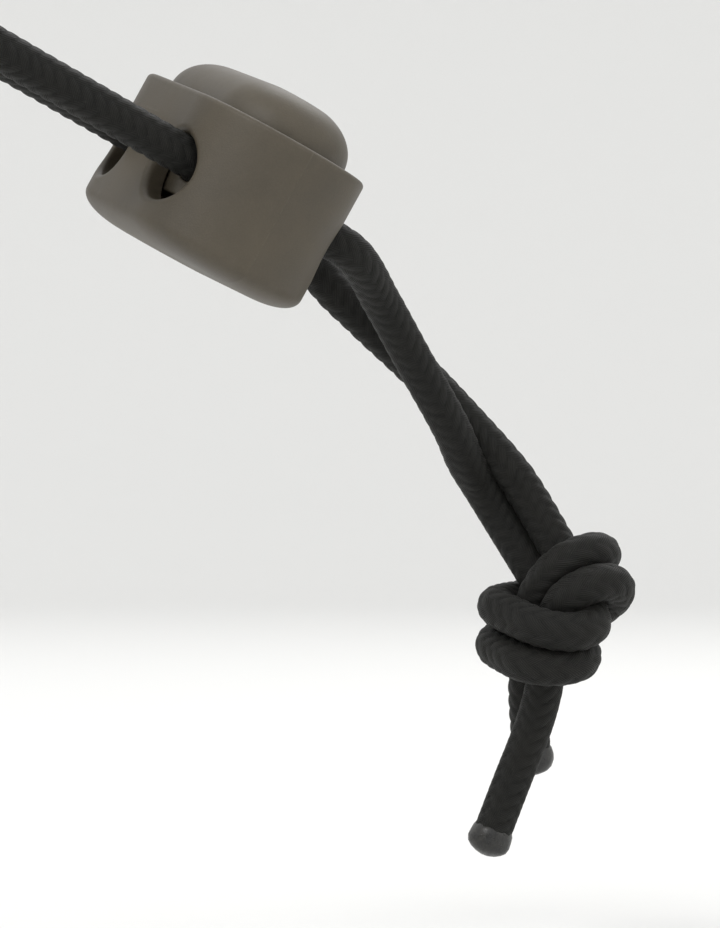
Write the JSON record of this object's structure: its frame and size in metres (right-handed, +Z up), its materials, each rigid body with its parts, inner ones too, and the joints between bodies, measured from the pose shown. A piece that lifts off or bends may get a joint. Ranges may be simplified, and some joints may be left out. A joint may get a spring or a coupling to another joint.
{
  "type": "cord lock",
  "caption": "Spring cord lock with a domed press button and side-by-side cord passages, gripping a doubled elastic cord that ends in a stopper knot and sealed tails.",
  "frame": {"origin": "inside the bend of the cord's loop, 0.05 mm from the cord, where what holds the part up pulls on it", "axes": "+Z up as the lock hangs; +X to the right, so the cord runs down and to the right from the origin at 26 degrees through the lock; +Y away from the viewer, and within the lock's 13 degrees of roll across its two cord passages"},
  "size_m": [0.0528, 0.0217, 0.0566],
  "materials": {
    "barrel": "moulded, fine matte texture",
    "plunger": "moulded, fine matte texture",
    "spring": "drawn wire",
    "cord": "braided sheath",
    "sealed_end": "melted sheath"
  },
  "bodies": {
    "cord": {"cord_run": "cord", "stopper_knot": "cord", "tail_long": "cord", "tail_short": "cord", "sealed_end_long": "sealed_end", "sealed_end_short": "sealed_end"},
    "barrel": {"barrel": "barrel", "spring": "spring"},
    "plunger": {"plunger": "plunger"}
  },
  "joints": [
    {"name": "lock_slide", "type": "slide", "parent": "cord", "child": "barrel", "axis": [-0.8988, 0, 0.4384], "range_m": [0, 0.01]},
    {"name": "button_press", "type": "slide", "parent": "barrel", "child": "plunger", "axis": [-0.4271, 0.225, -0.8758], "range_m": [0, 0.0019], "stiffness_N_per_m": 1400, "deforming": ["spring"]}
  ]
}
